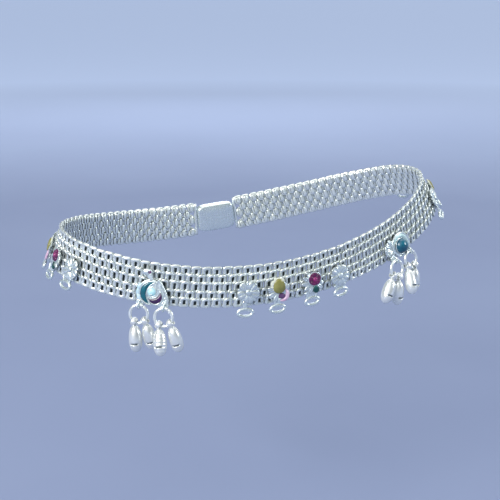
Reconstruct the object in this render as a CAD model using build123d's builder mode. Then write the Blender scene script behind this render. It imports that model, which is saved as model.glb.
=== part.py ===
"""Payal anklet: a woven silver band with flower plates, two enamelled ornaments and bud drops.

Millimetres, +Z up. The origin is the middle of the ankle hollow. +X points to the heel,
-X to the instep, and -Y to the side of the ankle that carries the ornaments.
"""

import os
from math import cos, radians, sin

from build123d import *

# The loop, as it is worn
loop_half_length = 49.2  # instep to heel is twice this
loop_half_width = 32.1
heel_taper = 0.05  # share by which the heel end is narrower than the middle
saddle = 8.4  # how far the sides hang below the instep and the heel
heel_rise = 4.9  # how far the heel end is lifted, and the instep end lowered
side_lean = 2  # degrees that the band's lower edge flares outward
instep_lean = 20
heel_lean = 30
route_points = 24

# The woven band and its clasp
band_width = 9.8
band_thickness = 1.6
band_edge_radius = 0.5
band_sections = 30
clasp_length = 11
clasp_height = 8
clasp_thickness = 3
clasp_edge_radius = 1.2
clasp_gap = 0.25

# Ornaments along the band: distances from the middle of the decorated side
group_pitch = 64.6  # from one group of flowers to the next
group_start = 0.3
flower_pitch = 7.7
group_middle = 2.5  # between the second and the third flower
group_places = {"instep": -1, "side": 0, "heel": 1}
motif_places = {"front": -0.5, "back": 0.475}  # in group pitches
plate_gap = 0.18
plate_thickness = 0.7
enamel_depth = 0.35
enamel_gap = 0.04
enamel_rise = 0.12  # how far flat enamel stands above its cell
bead_rise = 0.5  # and rounded enamel
cabochon_rise = 1.6  # and the one tall stone-like dome
rounding = 0.8  # share of the rise that a rounded edge takes

# Each flower plate: its number, the plate's x and y, the loop's x and the neck's width
flowers = [
    (1, 0.9, -1.2, 0.0, 0.9),
    (2, 0.3, -1.75, -0.5, 1.6),
    (3, 0.9, -1.75, 0.05, 3.0),
    (4, 0.1, -2.0, -0.35, 2.8),
]
flower_core_radius = 2.3
petal_count = 5
petal_ring_radius = 1.75
petal_radius = 1.2
dome_radii = (2.35, 2.6)
dome_thickness = 1.0
dome_edge_radius = 0.6
loop_y = -6.0
loop_outer_radii = (2.1, 1.28)
loop_wire = 0.8
loop_hole_radii = [radius - loop_wire for radius in loop_outer_radii]
neck_foot = loop_y + loop_outer_radii[1] - loop_wire / 2

# Jump rings, and the eyes that hold them
ring_radius = 2.05  # to the middle of the wire
ring_wire = 0.7
eye_radius = 0.74
eye_wire = 0.42
ear_radius = 0.95  # of the lug that each eye stands on
ear_lift = 0.3
ring_clearance = 0.06  # from the lug's face to the ring's wire
ring_slack = 0.12  # eye's middle to the ring's wire

# Bud drops: radius and height of each station, y down from the eyelet's middle
eyelet_radius = 0.82  # of a short round collar on the ring's wire
eyelet_wall = 0.4
eyelet_width = 1.15
neck_top = (0.5, -0.9)
neck_base = (0.9, -1.35)
bud_shoulder = (1.4, -2.6)
bud_widest = (1.56, -4.4)
bud_hip = (1.2, -6.35)
bud_foot = (0, -7.1)
slot_length = 1.9
slot_height = 0.3
slot_depth = 0.35
slot_y = -5.05

ring_height = plate_thickness + ring_clearance + ring_wire / 2

# Each eye: motif, number, x and y on the plate
eyes = [
    ("front", 1, -2.05, -5.05),
    ("front", 2, 3.7, -4.95),
    ("back", 1, -3.6, -4.6),
    ("back", 2, 2.0, -4.7),
]

# Each drop: motif, its ring, number, angle round the ring, swing sideways, tilt outward
drops = [
    ("front", 1, 1, -32, 5, -1),
    ("front", 1, 2, 45, 13, -13),
    ("front", 2, 3, -31, 8, 14),
    ("front", 2, 4, 53, 16, -10),
    ("back", 1, 1, -50, -30, -5),
    ("back", 1, 2, 12, -5, -10),
    ("back", 2, 3, -46, -10, 15),
    ("back", 2, 4, 38, -2, -10),
]

# The enamelled ornaments: round and oval plates as x, y, the two radii and the turn, and a leaf's corners
front_ovals = [
    (0.1, -2.0, (3.0, 3.0), 0),
    (-0.25, 1.6, (1.3, 0.55), 120),
    (-1.0, 2.5, (1.3, 0.8), 0),
]
front_leaf = [(1.2, 0.6), (1.9, 1.0), (3.2, -0.4), (4.5, -3.0), (4.4, -4.6), (0.5, -4.7)]
back_ovals = [
    (0.3, -2.4, (3.0, 3.0), 0),
    (-3.2, -1.9, (2.3, 2.1), 0),
]


def route_point(angle):
    """A point on the band's middle line, at an angle round the ankle."""
    x_share = cos(radians(angle))
    y_share = sin(radians(angle))
    return (
        loop_half_length * x_share,
        loop_half_width * y_share * (1 - heel_taper * x_share),
        saddle / 2 * cos(radians(2 * angle)) + heel_rise * x_share,
    )


# The middle line starts at the middle of the decorated side and runs towards the heel
with BuildLine() as middle_line:
    Spline(*[route_point(-90 + 360 * step / route_points) for step in range(route_points)], periodic=True)
route = middle_line.edge()
band_length = route.length


def frame_at(distance):
    """The point, the direction along the band and the outward direction, at a distance."""
    share = (distance / band_length) % 1
    point = route @ share
    along = route % share
    level = Vector(along.Y, -along.X, 0).normalized()
    end_lean = heel_lean if point.X > 0 else instep_lean
    lean = side_lean + (end_lean - side_lean) * (point.X / loop_half_length) ** 2
    outward = level.rotate(Axis((0, 0, 0), along), -lean)
    return point, along, outward


def section_plane(distance):
    """A plane across the band: x outward, y down."""
    point, along, outward = frame_at(distance)
    return Plane(point, x_dir=outward, z_dir=along)


def face_plane(distance):
    """A plane just off the band's outer face: x along the band, y up, z outward."""
    point, along, outward = frame_at(distance)
    return Plane(point + outward * (band_thickness / 2 + plate_gap), x_dir=along, z_dir=outward)


def hang_plane(face, x, y):
    """The plane that a jump ring hangs in, just off the plate at x and y, with x level."""
    level = Vector(0, 0, 1).cross(face.z_dir).normalized()
    return Plane(face.from_local_coords((x, y, ring_height)), x_dir=level, z_dir=face.z_dir)


def placed(plane, x=0, y=0, tilt=0, swing=0):
    """The plane moved to x and y on itself, its foot swung sideways and tilted outward."""
    return Plane(plane.location * Location((x, y, 0), (0, 0, swing)) * Location((0, 0, 0), (-tilt, 0, 0)))


def oval(x, y, radii, turn, shrink=0):
    with Locations(Location((x, y, 0), turn)):
        Ellipse(radii[0] - shrink, radii[1] - shrink)


def disc(x, y, radius, shrink=0):
    with Locations((x, y)):
        Circle(radius - shrink)


def crescent(x, y, radius, bite_x, bite_y, bite_radius, shrink=0):
    """A disc with a second disc taken out of one side."""
    with BuildSketch(mode=Mode.PRIVATE) as moon:
        with Locations((x, y)):
            Circle(radius - shrink)
        with Locations((bite_x, bite_y)):
            Circle(bite_radius + shrink, mode=Mode.SUBTRACT)
    add(moon.sketch)


# Enamel cells of each kind of plate: a name, its rise above the plate, the shape and its sizes
front_cells = [
    ("crescent", enamel_rise, crescent, (0.35, -2.1, 2.6, 2.1, -2.3, 2.85)),
    ("disc", bead_rise, disc, (0.45, -1.85, 0.98)),
    ("petal", enamel_rise, crescent, (1.35, -2.85, 1.7, 0.3, -1.2, 2.1)),
    ("dot", enamel_rise, disc, (-0.45, 2.6, 0.42)),
]
back_cells = [
    ("disc", cabochon_rise, disc, (0.22, -2.55, 1.85)),
    ("crescent", enamel_rise, crescent, (0.3, -2.4, 2.85, -0.05, -3.25, 2.75)),
]
flower_cells = {
    2: [
        ("yellow", bead_rise, oval, (0.2, -0.5, (1.4, 1.85), 0)),
        ("pink", enamel_rise, crescent, (0.95, -3.0, 1.3, 0.2, -2.4, 1.3)),
    ],
    3: [
        ("magenta", bead_rise, disc, (1.2, -0.8, 1.6)),
        ("green", enamel_rise, oval, (1.25, -3.35, (0.8, 0.55), 90)),
    ],
}


def save(piece, name):
    piece.label = name
    export_step(piece, f"parts/{name}.step")


def cut_cells(face, cells):
    """Sink the cells into the plate's face."""
    with BuildSketch(face.offset(plate_thickness - enamel_depth), mode=Mode.PRIVATE) as openings:
        for _, _, shape, sizes in cells:
            shape(*sizes)
    extrude(openings.sketch, amount=enamel_depth * 2, mode=Mode.SUBTRACT)


def fill_cells(face, cells, owner):
    """Each enamel fill is a piece of its own."""
    for colour, rise, shape, sizes in cells:
        with BuildPart() as enamel:
            with BuildSketch(face.offset(plate_thickness - enamel_depth + enamel_gap)):
                shape(*sizes, shrink=enamel_gap)
            extrude(amount=enamel_depth - enamel_gap + rise)
            if rise > enamel_rise:
                top = enamel.faces().sort_by(Axis(face.origin, face.z_dir))[-1]
                fillet(top.edges(), rise * rounding)
        save(enamel.part, f"enamel_{owner}_{colour}")


def draw_ears(motif):
    """The plate's lugs for the eyes."""
    for owner, _, x, y in eyes:
        if owner == motif:
            disc(x, y + ear_lift, ear_radius)


def add_eyes(face, motif):
    """Solder the eyes for the jump rings to the plate's lugs."""
    for owner, _, x, y in eyes:
        if owner == motif:
            with Locations(face.location * Location((x, y, ring_height), (0, 90, 0))):
                Torus(eye_radius, eye_wire / 2)


os.makedirs("parts", exist_ok=True)

# The woven band, open where the clasp sits
band_half = band_length / 2 - clasp_length / 2 - clasp_gap
with BuildPart() as woven_band:
    for step in range(band_sections + 1):
        with BuildSketch(section_plane(band_half * (2 * step / band_sections - 1))):
            RectangleRounded(band_thickness, band_width, band_edge_radius)
    loft()
save(woven_band.part, "woven_band")

# The clasp closes the band in the middle of the plain side
clasp_face = section_plane(band_length / 2)
with BuildPart(clasp_face) as clasp:
    Box(clasp_thickness, clasp_height, clasp_length)
    fillet(clasp.edges(), clasp_edge_radius)
save(clasp.part, "clasp")

# Three groups of four flower plates, the outer two of each group plain domes
for group, place in group_places.items():
    for number, plate_x, plate_y, loop_x, neck_width in flowers:
        face = face_plane(group_start + place * group_pitch + (number - group_middle) * flower_pitch)
        with BuildPart() as flower:
            if number in flower_cells:
                with BuildSketch(face):
                    disc(plate_x, plate_y, flower_core_radius)
                    with Locations((plate_x, plate_y)):
                        with PolarLocations(petal_ring_radius, petal_count, 90):
                            Circle(petal_radius)
                extrude(amount=plate_thickness)
            else:
                with BuildSketch(face):
                    oval(plate_x, plate_y, dome_radii, 0)
                extrude(amount=dome_thickness)
                dome_top = flower.faces().sort_by(Axis(face.origin, face.z_dir))[-1]
                fillet(dome_top.edges(), dome_edge_radius)
            with BuildSketch(face):
                with Locations((loop_x, (plate_y + neck_foot) / 2)):
                    Rectangle(neck_width, plate_y - neck_foot)
                with Locations((loop_x, loop_y)):
                    Ellipse(*loop_outer_radii)
                    Ellipse(*loop_hole_radii, mode=Mode.SUBTRACT)
            extrude(amount=loop_wire)
            if number in flower_cells:
                cut_cells(face, flower_cells[number])
        save(flower.part, f"flower_{group}_{number}")
        fill_cells(face, flower_cells.get(number, []), f"{group}_{number}")

# The two enamelled ornaments between the groups
front_face = face_plane(group_start + motif_places["front"] * group_pitch)
with BuildPart() as motif_front:
    with BuildSketch(front_face):
        for sizes in front_ovals:
            oval(*sizes)
        with BuildLine():
            Polyline(*front_leaf, close=True)
        make_face()
        draw_ears("front")
    extrude(amount=plate_thickness)
    add_eyes(front_face, "front")
    cut_cells(front_face, front_cells)
save(motif_front.part, "motif_front")
fill_cells(front_face, front_cells, "front")

back_face = face_plane(group_start + motif_places["back"] * group_pitch)
with BuildPart() as motif_back:
    with BuildSketch(back_face):
        for sizes in back_ovals:
            oval(*sizes)
        draw_ears("back")
    extrude(amount=plate_thickness)
    add_eyes(back_face, "back")
    cut_cells(back_face, back_cells)
save(motif_back.part, "motif_back")
fill_cells(back_face, back_cells, "back")

# Jump rings hang from the eyes, and the drops hang from the rings
motif_faces = {"front": front_face, "back": back_face}
ring_planes = {}
for motif, number, x, y in eyes:
    eye_plane = hang_plane(motif_faces[motif], x, y)
    ring_plane = placed(eye_plane, y=-ring_slack - ring_radius)
    with BuildPart(ring_plane) as jump_ring:
        Torus(ring_radius, ring_wire / 2)
    ring_planes[motif, number] = ring_plane
    save(jump_ring.part, f"jump_ring_{motif}_{number}")

for motif, ring, number, angle, swing, tilt in drops:
    ring_plane = ring_planes[motif, ring]
    wire_x = ring_radius * sin(radians(angle))
    wire_y = -ring_radius * cos(radians(angle))
    drop_plane = placed(ring_plane, wire_x, wire_y, tilt, swing)
    with BuildPart() as drop:
        with BuildSketch(drop_plane):
            with BuildLine():
                Polyline((0, neck_top[1]), neck_top, neck_base)
                ThreePointArc(neck_base, bud_shoulder, bud_widest)
                ThreePointArc(bud_widest, bud_hip, bud_foot)
                Line(bud_foot, (0, neck_top[1]))
            make_face()
        revolve(axis=Axis(drop_plane.origin, drop_plane.y_dir))
        with Locations(drop_plane.location * Location((0, slot_y, bud_widest[0]))):
            Box(slot_length, slot_height, slot_depth * 2, mode=Mode.SUBTRACT)
        along_wire = Location((0, 0, 0), (0, 0, angle - swing)) * Location((0, 0, 0), (0, 90, 0))
        with Locations(drop_plane.location * along_wire):
            Cylinder(eyelet_radius + eyelet_wall / 2, eyelet_width)
            Cylinder(eyelet_radius - eyelet_wall / 2, eyelet_width, mode=Mode.SUBTRACT)
    save(drop.part, f"drop_{motif}_{number}")
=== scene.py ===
"""Payal anklet, dressed: woven silver links, enamelled plates, wire rings and bud drops."""

import math

import bpy
import numpy as np
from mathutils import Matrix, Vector


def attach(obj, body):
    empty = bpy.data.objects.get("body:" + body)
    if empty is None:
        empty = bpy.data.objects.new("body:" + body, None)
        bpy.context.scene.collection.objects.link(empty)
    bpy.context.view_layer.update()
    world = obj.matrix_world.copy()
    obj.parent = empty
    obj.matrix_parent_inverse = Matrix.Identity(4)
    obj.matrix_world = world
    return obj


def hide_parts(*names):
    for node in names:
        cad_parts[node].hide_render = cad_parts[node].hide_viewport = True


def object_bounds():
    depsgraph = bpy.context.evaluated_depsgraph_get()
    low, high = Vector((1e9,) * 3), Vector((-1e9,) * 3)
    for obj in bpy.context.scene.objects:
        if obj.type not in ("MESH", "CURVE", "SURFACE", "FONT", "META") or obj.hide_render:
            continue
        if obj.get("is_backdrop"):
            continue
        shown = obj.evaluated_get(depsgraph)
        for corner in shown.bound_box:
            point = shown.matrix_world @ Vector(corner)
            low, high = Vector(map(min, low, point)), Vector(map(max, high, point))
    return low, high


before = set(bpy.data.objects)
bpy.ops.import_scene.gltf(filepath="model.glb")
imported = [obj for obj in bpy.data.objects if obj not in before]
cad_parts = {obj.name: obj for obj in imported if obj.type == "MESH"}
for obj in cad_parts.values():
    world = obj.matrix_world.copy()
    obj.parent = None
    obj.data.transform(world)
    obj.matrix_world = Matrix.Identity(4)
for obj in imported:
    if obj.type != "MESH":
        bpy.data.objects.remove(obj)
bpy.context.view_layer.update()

MM = 0.001
chance = np.random.default_rng(7)

# ---------------------------------------------------------------- sizes, in millimetres

# The band's middle line and lean, as in the CAD model
HALF_LENGTH = 49.2
HALF_WIDTH = 32.1
HEEL_TAPER = 0.05
SADDLE = 8.4
HEEL_RISE = 4.9
SIDE_LEAN = 2
INSTEP_LEAN = 20
HEEL_LEAN = 30
BAND_WIDTH = 9.8
BAND_THICKNESS = 1.6
CLASP_LENGTH = 11
CLASP_GAP = 0.25

# Where the ornaments sit along it
GROUP_PITCH = 64.6
GROUP_START = 0.3
FLOWER_PITCH = 7.7
GROUPS = {"instep": -1, "side": 0, "heel": 1}
MOTIFS = {"front": -0.5, "back": 0.475}
PLATE_GAP = 0.18
PLATE_THICKNESS = 0.7

# Each flower plate: its number, the plate's x and y, the loop's x and the neck's width
FLOWERS = [
    (1, 0.9, -1.2, 0.0, 1.0),
    (2, 0.3, -1.75, -0.5, 1.6),
    (3, 0.9, -1.75, 0.05, 3.0),
    (4, 0.1, -2.0, -0.35, 2.8),
]
LOOP_Y = -6.0
LOOP_RADII = (1.7, 0.88)  # to the middle of the wire
LOOP_WIRE = 0.4  # half its thickness
LOOP_RISE = 0.36  # its middle, above the plate's back
CHEEK_WIRE = 0.3
NARROWEST_NECK = 1  # a neck of this width has no web between its cheeks

# The weave: thick oval links in offset rows, each with a flat wire behind its slot, its front painted
# dark as shade
LINK_ROWS = [(-3.62, 0.93), (-1.98, 1.0), (-0.1, 1.15), (1.8, 1.02), (3.58, 0.97)]  # height, half height
LINK_PITCH = 2.39
LINK_SHIFT = 0.7  # towards the heel at the middle of the side, dying out at the clasp
LINK_HALF_WIDTH = 0.68  # to the middle of the wire
LINK_SIDE_WIRE = 0.48  # half the wire's width at the sides
LINK_END_WIRE = 0.42  # and at the top and bottom
LINK_WIRE_DEPTH = 0.36
LINK_END_DEPTH = 0.38
ROUND_CORNER = 2  # the power of a round end
EDGE_CORNER = 6.0  # and of the squarer ends along the band's two edges
EDGE_SPREAD = 0.3  # how much wider those ends are
LINK_YAW = 10  # degrees, one edge of each link behind its neighbour
LINK_LEAN = 10  # degrees, the top of each link outward
LINK_KNOB = 0.26  # how far the top of each link bulges outward
LINK_WOBBLE = 2  # degrees: the usual size of each link's own tilts
LINK_STRAY = 0.03  # and of its shifts
LINK_ARC_STEPS = 8  # round each end of a link
LINK_SIDES = 8  # round its wire
BACK_HALF_WIDTH = 0.62
BACK_DEPTH = 0.18
BACK_SHORTER = 0.08  # than the link, at each end
BACK_POINTS = 7
BAR_INSET = 0.25  # the middle of each end's bar, from the end of the band

# Jump rings and drops
EYE_RADIUS = 0.74
EYE_WIRE = 0.46
RING_RADIUS = 2.05
RING_WIRE = 0.76
RING_SLACK = 0.12
RING_CLEARANCE = 0.06  # from the front of the plate
RING_HEIGHT = PLATE_THICKNESS + RING_CLEARANCE + RING_WIRE / 2
EYELET_RADIUS = 0.82
EYELET_WALL = 0.4
EYELET_WIDTH = 1.25

# motif, its ring, and the ring's x and y on it
EYES = [
    ("front", 1, -2.05, -5.05),
    ("front", 2, 3.7, -4.95),
    ("back", 1, -3.6, -4.6),
    ("back", 2, 2.0, -4.7),
]

# motif, its ring, number, angle round the ring, swing sideways, tilt outward
DROPS = [
    ("front", 1, 1, -32, 5, -1),
    ("front", 1, 2, 45, 13, -13),
    ("front", 2, 3, -31, 8, 14),
    ("front", 2, 4, 53, 16, -10),
    ("back", 1, 1, -50, -30, -5),
    ("back", 1, 2, 12, -5, -10),
    ("back", 2, 3, -46, -10, 15),
    ("back", 2, 4, 38, -2, -10),
]


# ---------------------------------------------------------------- the band's route


def middle_point(angle):
    """Points of the band's middle line at angles round the ankle, in degrees."""
    turn = np.radians(angle)
    share = np.cos(turn)
    return np.stack(
        [
            HALF_LENGTH * share,
            HALF_WIDTH * np.sin(turn) * (1 - HEEL_TAPER * share),
            SADDLE / 2 * np.cos(2 * turn) + HEEL_RISE * share,
        ],
        axis=-1,
    )


ROUTE_ANGLES = np.linspace(-90, 270, 1441)  # degrees, a quarter apart
ROUTE_POINTS = middle_point(ROUTE_ANGLES)
ROUTE_STEPS = np.linalg.norm(np.diff(ROUTE_POINTS, axis=0), axis=1)
ROUTE_LENGTHS = np.concatenate([[0], np.cumsum(ROUTE_STEPS)])
BAND_LENGTH = ROUTE_LENGTHS[-1]
NEARBY = 0.05  # degrees to each side of a point, for the line's direction there


def unit(vector):
    """The vector's direction, one long."""
    return vector / np.linalg.norm(vector)


class Seat:
    """A place to build on: a point, and the directions right, up and out."""

    def __init__(self, point, right, up, out):
        self.point = np.array(point, float)
        self.axes = np.array([right, up, out], float)

    def world(self, local):
        """Local millimetres to the row frame's metres."""
        return (self.point + np.asarray(local, float) @ self.axes) * MM

    def moved(self, x, y, swing=0.0, tilt=0.0):
        """This seat moved on itself, then its foot swung sideways and tilted outward."""
        point = self.point + np.array([x, y, 0]) @ self.axes
        swung = turned((0, 0, 1), swing) @ turned((1, 0, 0), -tilt)
        right, up, out = swung.T @ self.axes
        return Seat(point, right, up, out)


def turned(axis, degrees):
    """The rotation matrix about an axis."""
    x, y, z = unit(np.array(axis, float))
    angle = math.radians(degrees)
    c, s = math.cos(angle), math.sin(angle)
    k = np.array([[0, -z, y], [z, 0, -x], [-y, x, 0]])
    return np.eye(3) * c + s * k + (1 - c) * np.outer([x, y, z], [x, y, z])


def band_seat(distance, rise=0.0):
    """The seat a distance along the band from the decorated side's middle, raised outward."""
    angle = np.interp(distance % BAND_LENGTH, ROUTE_LENGTHS, ROUTE_ANGLES)
    point = middle_point(angle)
    along = unit(middle_point(angle + NEARBY) - middle_point(angle - NEARBY))
    level = unit(np.array([along[1], -along[0], 0]))
    upright = np.cross(level, along)
    end_lean = HEEL_LEAN if point[0] > 0 else INSTEP_LEAN
    lean = math.radians(SIDE_LEAN + (end_lean - SIDE_LEAN) * (point[0] / HALF_LENGTH) ** 2)
    out = level * math.cos(lean) + upright * math.sin(lean)
    up = upright * math.cos(lean) - level * math.sin(lean)
    return Seat(point + out * rise, along, up, out)


def face_seat(distance):
    """The seat of a plate's back, just off the face of the band."""
    return band_seat(distance, BAND_THICKNESS / 2 + PLATE_GAP)


def level_seat(seat, x, y, z):
    """A seat at x, y and z on another, with the same outward direction and a level right."""
    out = seat.axes[2]
    right = unit(np.cross([0, 0, 1], out))
    point = seat.point + np.array([x, y, z]) @ seat.axes
    return Seat(point, right, np.cross(out, right), out)


# ---------------------------------------------------------------- building meshes

EDGE_STEPS = 4  # of a slab's rounded edge
DOME_STEPS = 7  # from a dome's rim to its top
CRESCENT_POINTS = 40  # along each side of a crescent
STRIP_POINTS = 9  # across a crescent's cushion
BEAD_SIDES = 12
SMALLEST = 0.02  # what a shape shrinks to before it is capped


class Form:
    """The points and faces of one mesh. Exposure is 1 on proud metal and 0 far inside; the materials
    paint shade where it is low.
    """

    def __init__(self):
        self.points = []
        self.exposure = []
        self.faces = []
        self.count = 0

    def add(self, points, faces, exposure=1.0):
        points = np.asarray(points, float).reshape(-1, 3)
        self.points.append(points)
        self.exposure.append(np.broadcast_to(np.asarray(exposure, float).reshape(-1), len(points)))
        self.faces.extend([[self.count + i for i in face] for face in faces])
        self.count += len(points)

    def grid(self, points, round_u=False, caps=False, exposure=1.0):
        """A sheet of points [u][v] with v running round; caps close the first and last u."""
        points = np.asarray(points, float)
        rows, columns = points.shape[:2]
        faces = []
        for u in range(rows if round_u else rows - 1):
            for v in range(columns):
                a = u * columns + v
                b = u * columns + (v + 1) % columns
                c = (u + 1) % rows * columns + (v + 1) % columns
                d = (u + 1) % rows * columns + v
                faces.append([a, b, c, d])
        if caps:
            faces.append(list(range(columns))[::-1])
            faces.append([(rows - 1) * columns + v for v in range(columns)])
        self.add(points, faces, exposure)


def turns(count):
    """Angles once round a circle, in radians."""
    return np.linspace(0, 2 * np.pi, count, endpoint=False)


def ring_outline(radius_x, radius_y, count, centre):
    """A closed ellipse, anticlockwise."""
    angle = turns(count)
    return np.stack([centre[0] + radius_x * np.cos(angle), centre[1] + radius_y * np.sin(angle)], axis=1)


def spline(p0, p1, p2, p3, share):
    """Points between p1 and p2 on a uniform Catmull-Rom spline."""
    return 0.5 * (
        2 * p1
        + (p2 - p0) * share
        + (2 * p0 - 5 * p1 + 4 * p2 - p3) * share**2
        + (3 * p1 - p0 - 3 * p2 + p3) * share**3
    )


def smooth_outline(corners, count):
    """A closed smooth line through a few corners."""
    corners = np.array(corners, float)
    spots = np.linspace(0, len(corners), count, endpoint=False)
    index = spots.astype(int)
    share = (spots - index)[:, None]
    return spline(*(corners[(index + k) % len(corners)] for k in (-1, 0, 1, 2)), share)


def smooth_line(corners, count):
    """An open smooth line through a few corners."""
    corners = np.array(corners, float)
    before, after = 2 * corners[0] - corners[1], 2 * corners[-1] - corners[-2]
    padded = np.concatenate([[before], corners, [after]])
    spots = np.linspace(0, len(corners) - 1 - 1e-9, count)  # the last stays inside the last stretch
    index = spots.astype(int)
    share = (spots - index)[:, None]
    return spline(*(padded[index + k] for k in range(4)), share)


def lifted(line, height):
    """A flat line given a height, one value or one per point."""
    line = np.asarray(line, float)
    return np.column_stack([line, np.broadcast_to(height, len(line))])


def tube(form, path, radius, depth=None, normal=(0, 0, 1), closed=True, sides=10):
    """Wire along a path. Radius is across the wire in the path's plane, depth along the normal."""
    path = np.asarray(path, float)
    count = len(path)
    radius = np.broadcast_to(radius, count)
    depth = radius if depth is None else np.broadcast_to(depth, count)
    if closed:
        along = np.roll(path, -1, axis=0) - np.roll(path, 1, axis=0)
    else:
        along = np.gradient(path, axis=0)
    along /= np.linalg.norm(along, axis=1)[:, None]
    side = np.cross(np.asarray(normal, float), along)
    side /= np.linalg.norm(side, axis=1)[:, None]
    over = np.cross(along, side)
    turn = turns(sides)
    points = (
        path[:, None]
        + side[:, None] * (np.cos(turn)[None, :, None] * radius[:, None, None])
        + over[:, None] * (np.sin(turn)[None, :, None] * depth[:, None, None])
    )
    form.grid(points, round_u=closed, caps=not closed)


def inset(outline, distance):
    """A closed outline drawn in by a distance along its normals."""
    along = np.roll(outline, -1, axis=0) - np.roll(outline, 1, axis=0)
    along /= np.linalg.norm(along, axis=1)[:, None] + 1e-12  # never divides by zero
    inward = np.stack([-along[:, 1], along[:, 0]], axis=1)
    return outline + inward * distance


def shrunk(outline, share):
    """A closed outline drawn in towards its middle."""
    centre = outline.mean(axis=0)
    return centre + (outline - centre) * share


def add_rows(form, rows, shades):
    """A solid from closed rows of points, each with one exposure."""
    exposure = np.repeat(np.array(shades)[:, None], len(rows[0]), axis=1)
    form.grid(np.array(rows), caps=True, exposure=exposure)


def slab(form, outline, base, top, edge):
    """A flat plate with rounded edges, from an outline that runs anticlockwise."""
    centre = outline.mean(axis=0)
    rows = [lifted(shrunk(outline, 0.5), base), lifted(outline, base)]
    shades = [0.3, 0.35]
    for k in range(EDGE_STEPS + 1):
        angle = math.pi / 2 * k / EDGE_STEPS
        height = top - edge + edge * math.sin(angle)
        rows.append(lifted(inset(outline, edge * (1 - math.cos(angle))), height))
        shades.append(0.6 + 0.4 * k / EDGE_STEPS)
    flat = inset(outline, edge)
    for share in (0.85, 0.65, 0.45, 0.25, 0.1, SMALLEST):
        rows.append(lifted(centre + (flat - centre) * share, top))
        shades.append(1.0)
    add_rows(form, rows, shades)


def dome(form, outline, base, rim, height, relief=None):
    """A cushion-shaped solid: a wall from base to rim, then a rounded top over the outline."""
    rows = [lifted(shrunk(outline, 0.5), base), lifted(outline, base)]
    shades = [0.2, 0.25]
    for k in range(DOME_STEPS + 1):
        angle = math.pi / 2 * k / DOME_STEPS
        share = max(math.cos(angle), SMALLEST)
        row = shrunk(outline, share)
        high = np.full(len(row), rim + height * math.sin(angle))
        if relief is not None:
            high = high + relief(row) * min(1, 2 * (1 - share) + 0.3)
        rows.append(lifted(row, high))
        shades.append(0.45 + 0.55 * math.sin(angle))
    add_rows(form, rows, shades)


def crescent_lines(x, y, radius, bite_x, bite_y, bite_radius, margin=0.0):
    """The outer and inner lines of a disc with a bite, from one tip to the other."""
    centre, bite = np.array([x, y]), np.array([bite_x, bite_y])
    outer, inner = radius - margin, bite_radius + margin
    apart = np.linalg.norm(bite - centre)
    towards = (bite - centre) / apart
    reach = (apart**2 + outer**2 - inner**2) / (2 * apart)
    half = math.sqrt(outer**2 - reach**2)
    heading = math.atan2(towards[1], towards[0])
    spread = math.atan2(half, reach)
    bite_spread = math.atan2(half, reach - apart)
    far = heading + 2 * math.pi
    outer_turn = np.linspace(heading + spread, far - spread, CRESCENT_POINTS)
    inner_turn = np.linspace(heading + bite_spread, far - bite_spread, CRESCENT_POINTS)
    outer_line = centre + outer * np.stack([np.cos(outer_turn), np.sin(outer_turn)], axis=1)
    inner_line = bite + inner * np.stack([np.cos(inner_turn), np.sin(inner_turn)], axis=1)
    return outer_line, inner_line


def strip(form, outer, inner, base, rim, height):
    """A cushion between two lines that meet at their ends, such as a crescent."""
    share = np.linspace(0, 1, STRIP_POINTS)
    arch = np.sqrt(np.clip(1 - (2 * share - 1) ** 2, 0, 1))
    flat = outer[:, None] * (1 - share)[None, :, None] + inner[:, None] * share[None, :, None]
    width = np.linalg.norm(outer - inner, axis=1)
    lift = height * np.clip(width / width.max(), 0, 1)[:, None] * arch[None]
    top = np.concatenate([flat, (rim + lift)[..., None]], axis=2)
    under = np.concatenate([flat[:, ::-1], np.full(flat.shape[:2] + (1,), base)], axis=2)
    over_shade = 0.45 + 0.55 * np.repeat(arch[None], len(outer), 0)
    shade = np.concatenate([over_shade, np.full(flat.shape[:2], 0.2)], axis=1)
    form.grid(np.concatenate([top, under], axis=1), caps=True, exposure=shade)


def bead(form, centre, radius):
    """A small ball."""
    down = np.linspace(SMALLEST, math.pi - SMALLEST, BEAD_SIDES // 2 + 2)
    turn = turns(BEAD_SIDES)
    points = np.stack(
        [
            np.outer(np.sin(down), np.cos(turn)),
            np.outer(np.sin(down), np.sin(turn)),
            np.outer(np.cos(down), np.ones(BEAD_SIDES)),
        ],
        axis=2,
    )
    form.grid(np.asarray(centre, float) - points * radius * [1, -1, 1], caps=True)


def make_piece(name, form, seat, material, nodes):
    """Turn a form into an object that stands for CAD nodes."""
    points = np.concatenate(form.points)
    places = seat.world(points) if seat is not None else points * MM
    mesh = bpy.data.meshes.new(name)
    mesh.from_pydata(places.tolist(), [], form.faces)
    mesh.materials.append(material)
    mesh.polygons.foreach_set("use_smooth", [True] * len(form.faces))
    exposure = mesh.attributes.new("exposure", "FLOAT", "POINT")
    exposure.data.foreach_set("value", np.concatenate(form.exposure).astype(np.float32))
    mesh.update()
    mesh.validate()
    piece = bpy.data.objects.new(name, mesh)
    bpy.context.collection.objects.link(piece)
    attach(piece, "root")
    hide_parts(*nodes)


# ---------------------------------------------------------------- materials


def new_material(name):
    """A material with its nodes, links and shader."""
    material = bpy.data.materials.new(name)
    material.use_nodes = True
    nodes, links = material.node_tree.nodes, material.node_tree.links
    return material, nodes, links, nodes["Principled BSDF"]


def noise(nodes, links, scale, detail, stretch=(1, 1, 1)):
    """A noise texture in the object's own coordinates; scale is in repeats per metre."""
    place = nodes.new("ShaderNodeTexCoord")
    mapping = nodes.new("ShaderNodeMapping")
    mapping.inputs["Scale"].default_value = stretch
    texture = nodes.new("ShaderNodeTexNoise")
    texture.inputs["Scale"].default_value = scale
    texture.inputs["Detail"].default_value = detail
    links.new(place.outputs["Object"], mapping.inputs["Vector"])
    links.new(mapping.outputs["Vector"], texture.inputs["Vector"])
    return texture.outputs["Fac"]


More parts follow.
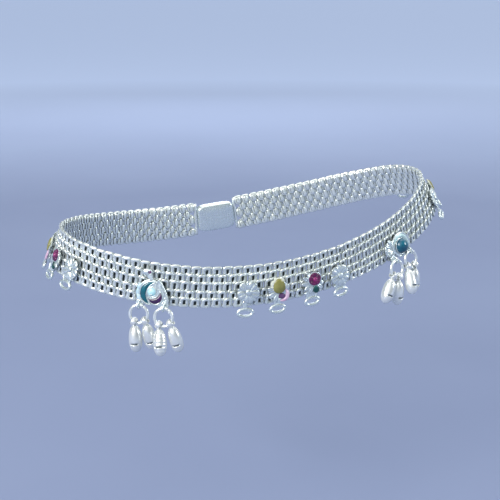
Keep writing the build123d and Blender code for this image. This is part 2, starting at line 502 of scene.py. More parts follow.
def mixed(nodes, links, share, first, second):
    """The first colour blending into the second as the share goes from 0 to 1."""
    node = nodes.new("ShaderNodeMix")
    node.data_type = "RGBA"
    links.new(share, node.inputs["Factor"])
    for socket_name, colour in (("A", first), ("B", second)):
        if hasattr(colour, "links"):
            links.new(colour, node.inputs[socket_name])
        else:
            node.inputs[socket_name].default_value = colour
    return node.outputs["Result"]


def remapped(nodes, links, value, low, high, new_low, new_high):
    """A value between low and high carried over to new_low and new_high."""
    node = nodes.new("ShaderNodeMapRange")
    node.inputs["From Min"].default_value = low
    node.inputs["From Max"].default_value = high
    node.inputs["To Min"].default_value = new_low
    node.inputs["To Max"].default_value = new_high
    links.new(value, node.inputs["Value"])
    return node.outputs["Result"]


def exposed(nodes):
    """How proud each point stands, as its form says."""
    node = nodes.new("ShaderNodeAttribute")
    node.attribute_name = "exposure"
    return node.outputs["Fac"]


def bump(nodes, links, height, strength, distance):
    """A normal from a height; the distance is in metres."""
    node = nodes.new("ShaderNodeBump")
    node.inputs["Strength"].default_value = strength
    node.inputs["Distance"].default_value = distance
    links.new(height, node.inputs["Height"])
    return node.outputs["Normal"]


WEAR_SCALE = 900  # repeats per metre of the silver's wear
CLOUD_SCALE = 160  # of its slow changes of tone
CLOUD_TONE = 0.93  # the darker tone's share of the brighter
SCRATCH_SCALE = WEAR_SCALE * 6
DRIFT_SCALE = 500  # of the enamel's slow drift of colour
PIT_SCALE = 2500
ENAMEL_ROUGHNESS = 0.12


def silver(name, bright, painted_shade_colour, rough, metallic=0.68):
    """White silver, painted darker and duller as shade where it lies low and in slots, with fine wear.
    """
    material, nodes, links, shader = new_material(name)
    shader.inputs["Metallic"].default_value = metallic
    depth = exposed(nodes)
    wear = noise(nodes, links, WEAR_SCALE, 4)
    cloud = noise(nodes, links, CLOUD_SCALE, 2)
    darker = tuple(part * CLOUD_TONE for part in bright[:3]) + (1,)
    clean = mixed(nodes, links, cloud, bright, darker)
    # painted shade: the shade colour where the exposure is low, in slots, between links and round the
    # feet of plates
    share = remapped(nodes, links, depth, 0.15, 0.85, 0, 1)
    links.new(mixed(nodes, links, share, painted_shade_colour, clean), shader.inputs["Base Color"])
    smooth = remapped(nodes, links, wear, 0.3, 0.7, rough[0], rough[1])
    links.new(smooth, shader.inputs["Roughness"])
    fine = noise(nodes, links, SCRATCH_SCALE, 5, (1, 1, 0.3))
    links.new(bump(nodes, links, fine, 0.05, 0.00002), shader.inputs["Normal"])
    return material


def enamel(name, colour, drift_and_shade_tone):
    """Fired enamel: glossy, with a little painted shade towards the cell's wall, and slow colour drift.
    """
    material, nodes, links, shader = new_material(name)
    drift = noise(nodes, links, DRIFT_SCALE, 3)
    tone = remapped(nodes, links, drift, 0.35, 0.65, 0, 1)
    body = mixed(nodes, links, tone, colour, drift_and_shade_tone)
    # painted shade: the darker tone where the fill slopes down to its wall
    rim = remapped(nodes, links, exposed(nodes), 0.45, 0.95, 0.85, 0)
    links.new(mixed(nodes, links, rim, body, drift_and_shade_tone), shader.inputs["Base Color"])
    shader.inputs["Coat Weight"].default_value = 0.5
    shader.inputs["Coat Roughness"].default_value = 0.08
    pits = noise(nodes, links, PIT_SCALE, 2)
    rough = remapped(nodes, links, pits, 0.4, 0.75, ENAMEL_ROUGHNESS, ENAMEL_ROUGHNESS * 2)
    links.new(rough, shader.inputs["Roughness"])
    links.new(bump(nodes, links, drift, 0.15, 0.00005), shader.inputs["Normal"])
    return material


BRIGHT = (0.9, 0.945, 0.905, 1)
# the colour of the painted shade in low places on plates, wires and drops
PAINTED_SHADE = (0.16, 0.19, 0.2, 1)
# the weave's painted shade colour, darker still, fills its slots and the gaps between links
weave_silver = silver("woven_silver", BRIGHT, (0.095, 0.12, 0.125, 1), (0.15, 0.3))
plate_silver = silver("plate_silver", (0.78, 0.85, 0.84, 1), PAINTED_SHADE, (0.16, 0.34), metallic=0.76)
wire_silver = silver("wire_silver", (0.92, 0.95, 0.92, 1), PAINTED_SHADE, (0.12, 0.24))
drop_silver = silver("drop_silver", (0.86, 0.88, 0.86, 1), PAINTED_SHADE, (0.14, 0.28), metallic=0.6)

# Each enamel's colour, and a darker tone for its slow drift and for the painted shade at the cell's wall
ENAMEL_COLOURS = {
    "teal": ((0.0, 0.14, 0.19, 1), (0.0, 0.05, 0.08, 1)),
    "aqua": ((0.62, 0.88, 0.9, 1), (0.3, 0.6, 0.68, 1)),
    "pale": ((0.72, 0.85, 0.92, 1), (0.45, 0.66, 0.75, 1)),
    "blue": ((0.01, 0.17, 0.24, 1), (0.0, 0.06, 0.11, 1)),
    "purple": ((0.05, 0.005, 0.09, 1), (0.02, 0.002, 0.04, 1)),
    "mint": ((0.78, 0.92, 0.91, 1), (0.5, 0.7, 0.69, 1)),
    "violet": ((0.14, 0.06, 0.17, 1), (0.05, 0.02, 0.07, 1)),
    "yellow": ((0.34, 0.32, 0.09, 1), (0.2, 0.19, 0.04, 1)),
    "cream": ((0.84, 0.86, 0.76, 1), (0.7, 0.71, 0.56, 1)),
    "pink": ((0.76, 0.56, 0.68, 1), (0.58, 0.36, 0.52, 1)),
    "magenta": ((0.2, 0.01, 0.1, 1), (0.07, 0.003, 0.05, 1)),
    "rose": ((0.35, 0.02, 0.16, 1), (0.2, 0.01, 0.1, 1)),
    "green": ((0.01, 0.13, 0.11, 1), (0.0, 0.05, 0.045, 1)),
}
enamels = {name: enamel(f"{name}_enamel", *pair) for name, pair in ENAMEL_COLOURS.items()}


# ---------------------------------------------------------------- the woven band


def section(path, across, wire, depth):
    """Points of a flattened wire round a path, from half its width and depth, and their turns."""
    turn = turns(LINK_SIDES)
    points = path[:, None] + across[:, None] * (np.cos(turn)[None, :, None] * wire[:, None, None])
    return points + np.array([0, 0, 1.0]) * (np.sin(turn)[None, :, None] * depth[:, None, None]), turn


def link_points(half_height, top_corner, bottom_corner):
    """One thick oval link, upright in its own plane, and how exposed each point is."""
    straight = half_height - LINK_HALF_WIDTH
    turn = np.linspace(0, np.pi, LINK_ARC_STEPS + 1)

    def arc(corner):
        across, up = np.cos(turn), np.sin(turn).clip(0)
        x = np.sign(across) * np.abs(across) ** (2 / corner)
        return LINK_HALF_WIDTH * np.stack([x, up ** (2 / corner)], axis=1)

    path = np.concatenate(
        [
            [[LINK_HALF_WIDTH, 0]],
            arc(top_corner) + [0, straight],
            [[-LINK_HALF_WIDTH, 0]],
            -arc(bottom_corner) - [0, straight],
        ]
    )
    end = np.clip(np.abs(path[:, 1]) - straight, 0, None) / LINK_HALF_WIDTH
    top = end * (path[:, 1] > 0)
    square = np.where(path[:, 1] > 0, top_corner, bottom_corner) > ROUND_CORNER
    path[:, 0] *= 1 + EDGE_SPREAD * end * square
    path = np.column_stack([path, LINK_KNOB * top])
    wire = LINK_SIDE_WIRE + (LINK_END_WIRE - LINK_SIDE_WIRE) * end**2
    wire += 4 * EDGE_SPREAD * LINK_HALF_WIDTH * end * (1 - end) * square
    along = np.roll(path, -1, axis=0) - np.roll(path, 1, axis=0)
    along /= np.linalg.norm(along, axis=1)[:, None]
    depth = LINK_WIRE_DEPTH + (LINK_END_DEPTH - LINK_WIRE_DEPTH) * end
    points, turn = section(path, np.cross([0, 0, 1], along), wire, depth)
    inside, outside = np.clip(np.cos(turn), 0, 1), np.clip(-np.cos(turn), 0, 1)
    # painted shade on the wire's sides facing the slot and the next link
    exposure = np.clip(1 - inside**6 - 0.8 * outside**6, 0, 1)  # dark in the slot and between links
    return points, np.repeat(exposure[None], len(path), axis=0)


def backing_points(half_height):
    """The short flat wire behind a link's slot, its front painted dark as shade and bright behind."""
    height = np.sin(np.linspace(-np.pi / 2, np.pi / 2, BACK_POINTS)) * (half_height - BACK_SHORTER)
    share = np.sqrt(np.clip(1 - (height / half_height) ** 4, SMALLEST, 1))
    behind = np.full(BACK_POINTS, -LINK_WIRE_DEPTH - BACK_DEPTH * 0.6)
    path = np.stack([0 * height, height, behind], axis=1)
    across = np.repeat([[1.0, 0, 0]], BACK_POINTS, axis=0)
    points, turn = section(path, across, share * BACK_HALF_WIDTH, share * BACK_DEPTH)
    # painted shade on the front of the wire, seen through the slot
    return points, np.repeat(np.clip(-1.2 * np.sin(turn) + 0.2, 0, 1)[None], BACK_POINTS, axis=0)


def build_weave():
    """Offset rows of links round the ankle, in two halves, with a bar soldered on each end."""
    tilt = turned((0, 1, 0), LINK_YAW) @ turned((1, 0, 0), LINK_LEAN)
    span = BAND_LENGTH / 2 - CLASP_LENGTH / 2 - CLASP_GAP - 2 * BAR_INSET
    columns = round(2 * span / LINK_PITCH)
    pitch = 2 * span / columns
    halves = {"instep": Form(), "heel": Form()}
    for row, (height, half_height) in enumerate(LINK_ROWS):
        top_corner = EDGE_CORNER if row == len(LINK_ROWS) - 1 else ROUND_CORNER
        bottom_corner = EDGE_CORNER if row == 0 else ROUND_CORNER
        link, link_exposure = link_points(half_height, top_corner, bottom_corner)
        backing, backing_exposure = backing_points(half_height)
        shapes = ((link, link_exposure, True), (backing, backing_exposure, False))
        shift = 0.5 if row % 2 else 0.0
        for column in range(columns - (row % 2)):
            distance = -span + (column + 0.5 + shift) * pitch
            distance += LINK_SHIFT * math.cos(math.pi / 2 * distance / span)
            seat = band_seat(distance)
            # how far apart places a millimetre apart on the middle line are at this height
            ahead, behind = band_seat(distance + 0.5), band_seat(distance - 0.5)
            ahead_rise, behind_rise = ahead.axes[1] * height, behind.axes[1] * height
            stretch = np.linalg.norm(ahead.point + ahead_rise - behind.point - behind_rise)
            yaw, lean = chance.normal(0, LINK_WOBBLE), chance.normal(0, LINK_WOBBLE)
            wobble = turned((0, 1, 0), yaw) @ turned((1, 0, 0), lean)
            offset = [chance.normal(0, LINK_STRAY) for _ in range(3)]
            offset[1] += height
            half = halves["instep" if distance < 0 else "heel"]
            for points, exposure, closed in shapes:
                local = (points * [stretch, 1, 1]).reshape(-1, 3) @ (wobble @ tilt).T + offset
                placed = (seat.world(local) / MM).reshape(points.shape)
                half.grid(placed, round_u=closed, caps=not closed, exposure=exposure)
    bar_end = BAND_WIDTH / 2 - 0.3
    for name, sign in (("instep", -1), ("heel", 1)):
        seat = band_seat(sign * (span + BAR_INSET))
        bar = Form()
        tube(bar, [(0, y, 0) for y in np.linspace(-bar_end, bar_end, 12)], 0.4, 0.6, closed=False)
        half = halves[name]
        half.add(seat.world(np.concatenate(bar.points)) / MM, bar.faces)
        make_piece(f"woven_band_{name}", half, None, weave_silver, ["woven_band"])


build_weave()


# ---------------------------------------------------------------- flower plates


def petal_outline(length, width, centre, turn, point=0.25, count=36):
    """A rounded petal: widest past its middle, a little pointed at its foot."""
    angle = turns(count)
    along = np.cos(angle)
    x = length / 2 * along
    y = width / 2 * np.sin(angle) * (1 + point * along)
    c, s = math.cos(math.radians(turn)), math.sin(math.radians(turn))
    return np.stack([centre[0] + c * x - s * y, centre[1] + s * x + c * y], axis=1)


def around(x, y, radius, turn):
    """The point at a radius and a turn in degrees from x and y."""
    return x + radius * math.cos(math.radians(turn)), y + radius * math.sin(math.radians(turn))


def necked_loop(form, x, neck_width, plate_foot):
    """The thick oval wire loop under a plate, and the cheeks of its neck with a web between them."""
    tube(form, lifted(ring_outline(*LOOP_RADII, 44, (x, LOOP_Y)), LOOP_RISE), LOOP_WIRE, sides=14)
    side = neck_width / 2 - CHEEK_WIRE
    top = LOOP_Y + LOOP_RADII[1]
    corners = [(side * 1.3, plate_foot + 0.5), (side, (plate_foot + top) / 2), (side * 1.1, top)]
    for sign in (1, -1):
        line = smooth_line(corners, 8) * [sign, 1] + [x, 0]
        tube(form, lifted(line, LOOP_RISE), CHEEK_WIRE, closed=False)
    if neck_width > NARROWEST_NECK:
        wide, high = side * 1.1, plate_foot + 0.6
        web = [(-side, top), (side, top), (wide, high), (-wide, high)]
        slab(form, smooth_outline(np.array(web) + [x, 0], 32), 0.05, 0.5, 0.1)


def creased_petal(form, size, middle, turn, heights, groove=(0.1, 0.12), point=0.25, count=36):
    """A petal of a length and width, with its base, rim and swell, and a groove of a depth and width."""
    depth, width = groove
    across = np.array([-math.sin(math.radians(turn)), math.cos(math.radians(turn))])

    def relief(points):
        return -depth * np.exp(-((((points - middle) @ across) / width) ** 2))

    dome(form, petal_outline(*size, middle, turn, point, count), *heights, relief=relief)


def crescent_wall(form, sizes, height=0.68, wire=0.12):
    """The wire wall round a crescent cell."""
    outer, inner = crescent_lines(*sizes)
    tube(form, lifted(np.concatenate([outer, inner[::-1][1:-1]]), height), wire, sides=8)


def ring_wall(form, radius, count, centre, height, wire, sides=8):
    """The wire wall round a round cell."""
    tube(form, lifted(ring_outline(radius, radius, count, centre), height), wire, sides=sides)


def build_silver_flower(name, x, y, loop_x, neck_width, seat):
    """A plain silver flower: five creased petals and small leaves round a low heart."""
    form = Form()
    necked_loop(form, loop_x, neck_width, y - 2.5)
    slab(form, ring_outline(2.2, 2.4, 48, (x, y)), 0, 0.5, 0.18)
    for turn in (-90, -18, 54, 126, 198):
        middle = around(x, y, 1.45, turn)
        creased_petal(form, (2.5, 2.1), middle, turn, (0.3, 0.5, 0.34), (0.14, 0.14), 0.3)
    for turn in (-54, 18, 90, 162, 234):
        dome(form, petal_outline(1.5, 0.8, around(x, y, 1.9, turn), turn), 0.2, 0.45, 0.2)
    dome(form, ring_outline(0.75, 0.75, 24, (x, y)), 0.5, 0.8, 0.35)
    make_piece(name, form, seat, plate_silver, [name])


def build_bud_flower(name, group, x, y, loop_x, neck_width, seat):
    """A yellow bud over a pink and purple crescent, with silver leaves at the left."""
    form = Form()
    necked_loop(form, loop_x, neck_width, y - 2.3)
    slab(form, ring_outline(2.3, 2.3, 48, (x, y)), 0, 0.5, 0.18)
    for turn, length in ((128, 2.0), (165, 2.4), (205, 2.6), (240, 2.4), (20, 1.8)):
        creased_petal(form, (length, 1.2), around(x, y, 1.75, turn), turn, (0.1, 0.45, 0.3))
    make_piece(name, form, seat, plate_silver, [name])
    fill = Form()
    for turn in (60, 105, 150, 195):
        middle = around(x - 0.1, y + 1.1, 1.2, turn)
        creased_petal(fill, (1.75, 1.5), middle, turn, (0.3, 0.5, 0.22), (0.08, 0.12))
    node = f"enamel_{group}_2_yellow"
    enamel_piece(f"enamel_{group}_2_petals", "cream", seat, fill, node)
    fill = Form()
    dome(fill, petal_outline(3.5, 2.9, (x - 0.05, y + 1.15), 90, -0.18, 44), 0.45, 0.7, 0.5)
    enamel_piece(node, "yellow", seat, fill)
    fill = Form()
    strip(fill, *crescent_lines(x + 0.75, y - 1.15, 1.55, x - 0.1, y - 0.7, 1.5), 0.3, 0.55, 0.35)
    node = f"enamel_{group}_2_pink"
    enamel_piece(node, "pink", seat, fill)
    fill = Form()
    dome(fill, petal_outline(1.9, 1.3, (x + 0.35, y - 1.3), -10, 0.1), 0.3, 0.55, 0.25)
    enamel_piece(f"enamel_{group}_2_purple", "violet", seat, fill, node)


def build_rose_flower(name, group, x, y, loop_x, neck_width, seat):
    """A magenta rose on a green stem, between silver leaves."""
    form = Form()
    necked_loop(form, loop_x, neck_width, y - 2.3)
    slab(form, ring_outline(2.3, 2.3, 48, (x, y)), 0, 0.5, 0.18)
    left_leaves = ((118, 2.0), (148, 2.4), (180, 2.5), (212, 2.4), (244, 2.2))
    for turn, length in (*left_leaves, (316, 2.2), (345, 1.8)):
        middle = around(x, y + 0.2, 1.85, turn)
        creased_petal(form, (length, 1.1), middle, turn, (0.1, 0.45, 0.28), point=0)
    rose = (x + 0.3, y + 0.95)
    ring_wall(form, 1.62, 44, rose, 0.66, 0.12)
    make_piece(name, form, seat, plate_silver, [name])
    fill = Form()
    dome(fill, ring_outline(1.56, 1.56, 44, rose), 0.45, 0.7, 0.35)
    for k in range(5):
        turn = 72 * k + 18
        middle = around(*rose, 0.92, turn)
        creased_petal(fill, (1.25, 1.25), middle, turn, (0.7, 0.85, 0.35), (0.16, 0.22), count=24)
    node = f"enamel_{group}_3_magenta"
    enamel_piece(node, "magenta", seat, fill)
    fill = Form()
    dome(fill, ring_outline(0.62, 0.62, 24, rose), 0.7, 0.95, 0.45)
    enamel_piece(f"enamel_{group}_3_heart", "rose", seat, fill, node)
    fill = Form()
    dome(fill, petal_outline(2.0, 1.5, (x + 0.4, y - 1.5), -85), 0.4, 0.6, 0.35)
    enamel_piece(f"enamel_{group}_3_green", "green", seat, fill)


def enamel_piece(name, colour, seat, form, node=None):
    """A fill that stands for its own node in its own slot, unless others are given."""
    make_piece(name, form, seat, enamels[colour], [node or name])


def build_flower(group, number, x, y, loop_x, neck_width, distance):
    """One flower plate: plain silver at the ends of a group, a bud and a rose inside it."""
    seat = face_seat(distance)
    name = f"flower_{group}_{number}"
    if number == 2:
        build_bud_flower(name, group, x, y, loop_x, neck_width, seat)
    elif number == 3:
        build_rose_flower(name, group, x, y, loop_x, neck_width, seat)
    else:
        build_silver_flower(name, x, y, loop_x, neck_width, seat)


for group, place in GROUPS.items():
    for number, *sizes in FLOWERS:
        distance = GROUP_START + place * GROUP_PITCH + (number - 2.5) * FLOWER_PITCH
        build_flower(group, number, *sizes, distance)


# ---------------------------------------------------------------- the two enamelled ornaments


def eye_lugs(form, motif):
    """The lugs and eyes that hold the jump rings."""
    for owner, _, x, y in EYES:
        if owner == motif:
            slab(form, ring_outline(0.95, 0.95, 28, (x, y + 0.3)), 0, PLATE_THICKNESS - 0.05, 0.15)
            eye = ring_outline(EYE_RADIUS, EYE_RADIUS, 28, (y, RING_HEIGHT))
            tube(form, np.column_stack([np.full(28, x), eye]), EYE_WIRE / 2, normal=(1, 0, 0))


# Crescents: centre, radius, then the bite's centre and radius
TEAL_CRESCENT = (0.35, -2.1, 2.6, 2.1, -2.3, 2.85)
PURPLE_CRESCENT = (1.35, -2.85, 1.7, 0.3, -1.2, 2.1)
MINT_CRESCENT = (0.3, -2.4, 2.85, -0.05, -3.25, 2.75)
# The middles of the front's round cells, and of the back's stone
DISC = (0.45, -1.85)
DOT = (-0.45, 2.6)
STONE = (0.22, -2.55)


def build_front_motif():
    """A small bird of crescents: a teal breast, a pale body, a purple wing, and a leaf for its tail."""
    seat = face_seat(GROUP_START + MOTIFS["front"] * GROUP_PITCH)
    form = Form()
    slab(form, ring_outline(3.0, 3.0, 60, (0.1, -2)), 0, 0.5, 0.18)
    leaf_left = [(1.9, 1.15), (0.9, -0.2), (0.6, -3.0), (1.2, -4.7)]
    leaf_right = [(3.0, -4.9), (4.5, -4.2), (4.3, -2.6), (3.1, -0.4)]
    slab(form, smooth_outline(leaf_left + leaf_right, 56), 0, 0.6, 0.2)
    slab(form, petal_outline(2.8, 1.2, (-0.35, 1.55), 118), 0, 0.5, 0.15)
    dome(form, petal_outline(2.7, 1.5, (-1.0, 2.5), 185, 0.3), 0, 0.4, 0.4)
    eye_lugs(form, "front")
    for sizes in (TEAL_CRESCENT, PURPLE_CRESCENT):
        crescent_wall(form, sizes)
    ring_wall(form, 1.06, 36, DISC, 0.72, 0.14)
    ring_wall(form, 0.48, 24, DOT, 0.78, 0.12)
    tail = smooth_line([(1.75, 1.1), (2.5, 0.2), (3.3, -1.0), (4.0, -2.4), (4.35, -3.9)], 28)
    tube(form, lifted(tail, 0.66), 0.2, closed=False)
    quill = smooth_line([(1.75, 1.1), (1.35, -0.1), (1.6, -0.9), (2.5, -1.3)], 20)
    tube(form, lifted(quill, 0.66), 0.16, closed=False, sides=8)
    barb = smooth_line([(2.3, 0.1), (2.6, -0.8), (3.3, -1.7), (3.4, -3.2)], 20)
    tube(form, lifted(barb, 0.64), 0.14, closed=False, sides=8)
    bead(form, (0.5, -2.42, 1.0), 0.26)
    for x, y in ((3.75, -3.1), (3.7, -3.95)):
        tube(form, lifted(ring_outline(0.3, 0.34, 20, (x, y)), 0.62), 0.12, sides=8)
    for k in range(4):
        bead(form, (*around(-0.3, -1.6, 2.9, 118 + 17 * k), 0.62), 0.2)
    make_piece("motif_front", form, seat, plate_silver, ["motif_front"])
    fill = Form()
    strip(fill, *crescent_lines(*TEAL_CRESCENT, margin=0.05), 0.4, 0.6, 0.4)
    enamel_piece("enamel_front_crescent", "teal", seat, fill)
    fill = Form()
    dome(fill, ring_outline(0.98, 0.98, 32, DISC), 0.4, 0.7, 0.45)
    enamel_piece("enamel_front_disc", "aqua", seat, fill)
    fill = Form()
    for turn in (158, 182, 206):
        middle = around(0.1, -2, 2.85, turn)
        dome(fill, petal_outline(1.7, 0.95, middle, turn + 90, 0), 0.1, 0.5, 0.3)
    enamel_piece("enamel_front_leaves", "pale", seat, fill, "enamel_front_disc")
    fill = Form()
    strip(fill, *crescent_lines(*PURPLE_CRESCENT, margin=0.05), 0.4, 0.6, 0.35)
    enamel_piece("enamel_front_petal", "purple", seat, fill)
    fill = Form()
    dome(fill, ring_outline(0.42, 0.42, 24, DOT), 0.4, 0.74, 0.25)
    enamel_piece("enamel_front_dot", "violet", seat, fill, "enamel_front_dot")
    return seat


def build_back_motif():
    """A tall blue stone ringed with wire, a mint crescent above it and small leaves beside it."""
    seat = face_seat(GROUP_START + MOTIFS["back"] * GROUP_PITCH)
    form = Form()
    slab(form, ring_outline(2.95, 2.95, 60, (0.3, -2.4)), 0, 0.5, 0.18)
    slab(form, ring_outline(2.2, 2.0, 48, (-3.2, -1.9)), 0, 0.42, 0.18)
    for turn in (105, 140, 175, 210, 245):
        creased_petal(form, (2.1, 1.0), around(-2.7, -1.9, 1.5, turn), turn, (0.1, 0.45, 0.25))
    eye_lugs(form, "back")
    turn = np.radians(np.linspace(200, -35, 64))
    radius = np.linspace(3.15, 3.0, 64)
    spiral = np.stack([0.3 + radius * np.cos(turn), -2.4 + radius * np.sin(turn)], axis=1)
    tube(form, lifted(spiral, 0.6), 0.2, closed=False, sides=12)
    ring_wall(form, 1.95, 48, STONE, 0.7, 0.13, sides=10)
    crescent_wall(form, MINT_CRESCENT, 0.62, 0.1)
    make_piece("motif_back", form, seat, plate_silver, ["motif_back"])
    fill = Form()
    strip(fill, *crescent_lines(*MINT_CRESCENT, margin=0.05), 0.4, 0.62, 0.35)
    enamel_piece("enamel_back_crescent", "mint", seat, fill, "enamel_back_crescent")
    fill = Form()
    dome(fill, ring_outline(1.85, 1.85, 48, STONE), 0.4, 0.75, 1.5)
    enamel_piece("enamel_back_disc", "blue", seat, fill)
    return seat


motif_seats = {"front": build_front_motif(), "back": build_back_motif()}


# ---------------------------------------------------------------- jump rings and drops

CUT_ANGLE = 63  # degrees round the ring, from its right
WIRE_SWEEP = 357  # degrees, all but the cut


def build_ring(motif, number, x, y):
    """A wire ring in its eye, with the cut where it was closed."""
    hang = level_seat(motif_seats[motif], x, y, RING_HEIGHT).moved(0, -RING_SLACK - RING_RADIUS)
    angle = np.radians(np.linspace(CUT_ANGLE, CUT_ANGLE + WIRE_SWEEP, 64))
    path = np.stack([RING_RADIUS * np.cos(angle), RING_RADIUS * np.sin(angle), 0 * angle], axis=1)
    form = Form()
    tube(form, path, RING_WIRE / 2, closed=False, sides=14)
    name = f"jump_ring_{motif}_{number}"
    make_piece(name, form, hang, wire_silver, [name])
    return hang


ring_seats = {(motif, number): build_ring(motif, number, x, y) for motif, number, x, y in EYES}

# The bud's profile: radius and height of a few stations from the neck to the tip
BUD_STATIONS = [
    (0.5, -0.95),
    (0.72, -1.15),
    (1.0, -1.5),
    (1.26, -2.1),
    (1.43, -2.8),
    (1.53, -3.6),
    (1.56, -4.4),
    (1.51, -5.2),
    (1.36, -5.9),
    (1.1, -6.45),
    (0.74, -6.85),
    (0.36, -7.05),
    (0.07, -7.1),
]
BUD_ROWS = 110
BUD_SIDES = 64
BUD_TIP = 0.03  # the least radius

# The saw cut across the front of a bud
SLOT_Y = -5.05
SLOT_HALF_LENGTH = 0.95
SLOT_HALF_HEIGHT = 0.15
SLOT_DEPTH = 0.4
SLOT_BEVEL = 0.07  # its upper and lower edges
SLOT_RUN_OUT = 0.15  # at its two ends

RIBBED = ("front", 3)
RIB_HEIGHT = 0.028
RIB_PITCH = 0.8


def build_drop(motif, ring, number, angle, swing, tilt):
    """A plump bud with a short saw cut in front, on its wire eyelet; one of them is ribbed."""
    at = math.radians(angle)
    foot_x, foot_y = RING_RADIUS * math.sin(at), -RING_RADIUS * math.cos(at)
    seat = ring_seats[motif, ring].moved(foot_x, foot_y, swing, tilt)
    profile = smooth_line(BUD_STATIONS, BUD_ROWS)
    turn = turns(BUD_SIDES)
    height = np.repeat(profile[:, 1:], BUD_SIDES, axis=1)
    radius = np.repeat(np.clip(profile[:, :1], BUD_TIP, None), BUD_SIDES, axis=1)
    side = radius * np.cos(turn)
    cut = np.clip((SLOT_HALF_HEIGHT + SLOT_BEVEL - np.abs(height - SLOT_Y)) / SLOT_BEVEL, 0, 1)
    cut = cut * np.clip((SLOT_HALF_LENGTH - np.abs(side)) / SLOT_RUN_OUT, 0, 1) * (np.sin(turn) > 0)
    ribs = RIB_HEIGHT if (motif, number) == RIBBED else 0
    swell = np.clip(radius - 0.6, 0, 0.5) * 2
    radius = radius - SLOT_DEPTH * cut + ribs * swell * np.sin(2 * np.pi * height / RIB_PITCH)
    points = np.stack([radius * np.cos(turn), height, radius * np.sin(turn)], axis=2)
    form = Form()
    # painted shade inside the saw cut, through its low exposure
    form.grid(points, caps=True, exposure=1 - cut)
    loop = turns(32)
    collar = np.stack([0 * loop, EYELET_RADIUS * np.cos(loop), EYELET_RADIUS * np.sin(loop)], axis=1)
    along_wire = turned((0, 0, 1), angle - swing)
    normal = along_wire @ (1, 0, 0)
    tube(form, collar @ along_wire.T, EYELET_WALL / 2, EYELET_WIDTH / 2, normal=normal, sides=16)
    name = f"drop_{motif}_{number}"
    make_piece(name, form, seat, drop_silver, [name])


for row in DROPS:
    build_drop(*row)


# ---------------------------------------------------------------- the clasp

CLASP_HALF_WIDTH = 4.0
CLASP_HALF_THICKNESS = 1.5
CLASP_CORNER = 0.35  # the outline's power: 1 is an ellipse and 0 a square
CLASP_STEPS = 16  # from the back to the front


def build_clasp():
    """A plain rounded block with a softened edge, across the gap in the band."""
    seat = band_seat(BAND_LENGTH / 2)
    form = Form()
    angle = turns(96)
    x = np.sign(np.cos(angle)) * np.abs(np.cos(angle)) ** CLASP_CORNER
    y = np.sign(np.sin(angle)) * np.abs(np.sin(angle)) ** CLASP_CORNER
    outline = np.stack([CLASP_LENGTH / 2 * x, CLASP_HALF_WIDTH * y], axis=1)
    rows = []
    for k in range(CLASP_STEPS + 1):
        turn = math.pi * (k / CLASP_STEPS - 0.5)
        share = np.abs(math.cos(turn)) ** 0.3
        shrink = max(share, 0.05) ** 0.35
        rows.append(lifted(outline * shrink, CLASP_HALF_THICKNESS * math.sin(turn)))
    form.grid(np.array(rows), caps=True)
    make_piece("clasp", form, seat, plate_silver, ["clasp"])


build_clasp()


# ---------------------------------------------------------------- floor, light and camera

TABLE_DROP = 0.078  # metres: the anklet is worn this far above the table
FLOOR_SIZE = 400  # metres, so that its edge is the horizon
FLOOR_COLOUR = (0.21, 0.25, 0.38, 1)
FLOOR_PALER = (0.226, 0.268, 0.4, 1)  # in slow clouds
# painted light: the floor is painted paler towards this colour away from the anklet
FAR_FLOOR_PAINTED_LIGHT = (0.58, 0.68, 0.94, 1)
FAR_FROM, FAR_TO = 0.4, 1.25  # metres from the anklet


def build_stage():
    """A plain blue floor, with painted light making it paler away from the anklet."""
    material, nodes, links, shader = new_material("floor")
    tone = remapped(nodes, links, noise(nodes, links, 6, 4), 0.35, 0.65, 0, 1)
    near = mixed(nodes, links, tone, FLOOR_COLOUR, FLOOR_PALER)
    place = nodes.new("ShaderNodeTexCoord")
    distance = nodes.new("ShaderNodeVectorMath")
    distance.operation = "LENGTH"
    links.new(place.outputs["Object"], distance.inputs[0])
    away = remapped(nodes, links, distance.outputs["Value"], FAR_FROM, FAR_TO, 0, 1)
    links.new(mixed(nodes, links, away, near, FAR_FLOOR_PAINTED_LIGHT), shader.inputs["Base Color"])
    shader.inputs["Roughness"].default_value = 0.9
    shader.inputs["Specular IOR Level"].default_value = 0.1
    bpy.ops.mesh.primitive_plane_add(size=FLOOR_SIZE, location=(0, 0, -TABLE_DROP))
    floor = bpy.context.object
    floor.name = "floor"
    floor.data.materials.append(material)
    floor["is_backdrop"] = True


def build_light(name, place, size, power, colour):
    """A square light that faces the middle of the anklet and isn't seen itself."""
    light = bpy.data.lights.new(name, "AREA")
    light.size = size
    light.energy = power
    light.color = colour
    lamp = bpy.data.objects.new(name, light)
    bpy.context.collection.objects.link(lamp)
    lamp.location = place
    lamp.rotation_euler = (Vector((0, 0, 0)) - Vector(place)).to_track_quat("-Z", "Y").to_euler()
    lamp.visible_camera = False


build_stage()
build_light("key", (-0.7, -0.4, 0.5), 0.4, 6.2, (1, 0.99, 0.98))
build_light("fill", (0.75, -0.35, 0.35), 0.3, 2.5, (0.93, 0.97, 1))
build_light("top", (0.1, 0.15, 0.8), 0.5, 1.2, (0.95, 0.97, 1))
build_light("back", (0.2, 0.8, 0.4), 0.4, 1.4, (0.92, 0.95, 1))

WALL_DIRECTION = (-0.75, -0.65, 0)  # to the front wall; the back one is opposite
BRIGHT_WALL = (1.2, 1.24, 1.26, 1)
DIM_SIDE = (0.185, 0.227, 0.25, 1)
WALL_FROM, WALL_TO = 0.95, 1.3  # how far towards a wall, or up, the dome brightens
HORIZON = (0.46, 0.55, 0.78, 1)
HORIZON_TOP = 0.2


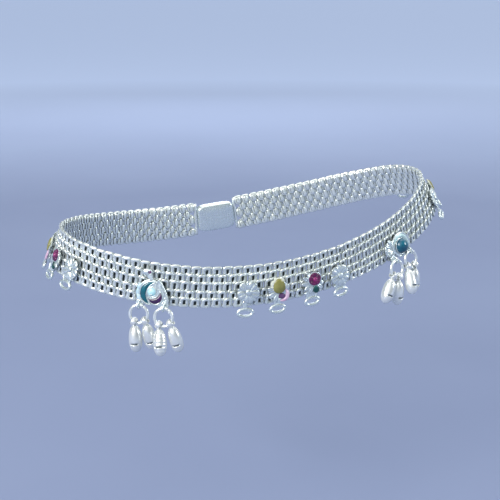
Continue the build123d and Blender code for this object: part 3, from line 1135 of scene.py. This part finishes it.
def build_world():
    """A soft studio dome: bright walls in front and behind, dim at the sides, pale at the horizon."""
    world = bpy.data.worlds.new("studio")
    bpy.context.scene.world = world
    world.use_nodes = True
    nodes, links = world.node_tree.nodes, world.node_tree.links
    place = nodes.new("ShaderNodeTexCoord")
    facing = nodes.new("ShaderNodeVectorMath")
    facing.operation = "DOT_PRODUCT"
    facing.inputs[1].default_value = Vector(WALL_DIRECTION).normalized()
    links.new(place.outputs["Generated"], facing.inputs[0])
    side = nodes.new("ShaderNodeMath")
    side.operation = "ABSOLUTE"
    links.new(facing.outputs["Value"], side.inputs[0])
    parts = nodes.new("ShaderNodeSeparateXYZ")
    links.new(place.outputs["Generated"], parts.inputs["Vector"])
    reach = nodes.new("ShaderNodeMath")
    reach.operation = "ADD"
    links.new(side.outputs["Value"], reach.inputs[0])
    links.new(parts.outputs["Z"], reach.inputs[1])
    wall = remapped(nodes, links, reach.outputs["Value"], WALL_FROM, WALL_TO, 0, 1)
    dome_colour = mixed(nodes, links, wall, DIM_SIDE, BRIGHT_WALL)
    above = remapped(nodes, links, parts.outputs["Z"], 0.0, HORIZON_TOP, 0, 1)
    colour = mixed(nodes, links, above, HORIZON, dome_colour)
    links.new(colour, nodes["Background"].inputs["Color"])
    nodes["Background"].inputs["Strength"].default_value = 1.0


build_world()

CAMERA_AZIMUTH = -17.7  # degrees
CAMERA_ELEVATION = 14.5
CAMERA_DISTANCE = 0.2397  # metres
CAMERA_LENS = 66
CLIP_START, CLIP_END = 0.01, 300
AIM_DROP = 0.003  # metres


def build_camera():
    """The photograph's viewpoint, aimed just below the middle of the anklet."""
    a, e = math.radians(CAMERA_AZIMUTH), math.radians(CAMERA_ELEVATION)
    back = Vector((math.sin(a) * math.cos(e), -math.cos(a) * math.cos(e), math.sin(e)))
    low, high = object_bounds()
    data = bpy.data.cameras.new("camera")
    data.lens = CAMERA_LENS
    data.clip_start = CLIP_START
    data.clip_end = CLIP_END
    camera = bpy.data.objects.new("camera", data)
    bpy.context.collection.objects.link(camera)
    camera.location = back * CAMERA_DISTANCE
    aim = (low + high) / 2 - Vector((0, 0, AIM_DROP))
    camera.rotation_euler = (aim - camera.location).to_track_quat("-Z", "Y").to_euler()
    bpy.context.scene.camera = camera


build_camera()
bpy.context.scene.view_settings.view_transform = "Standard"
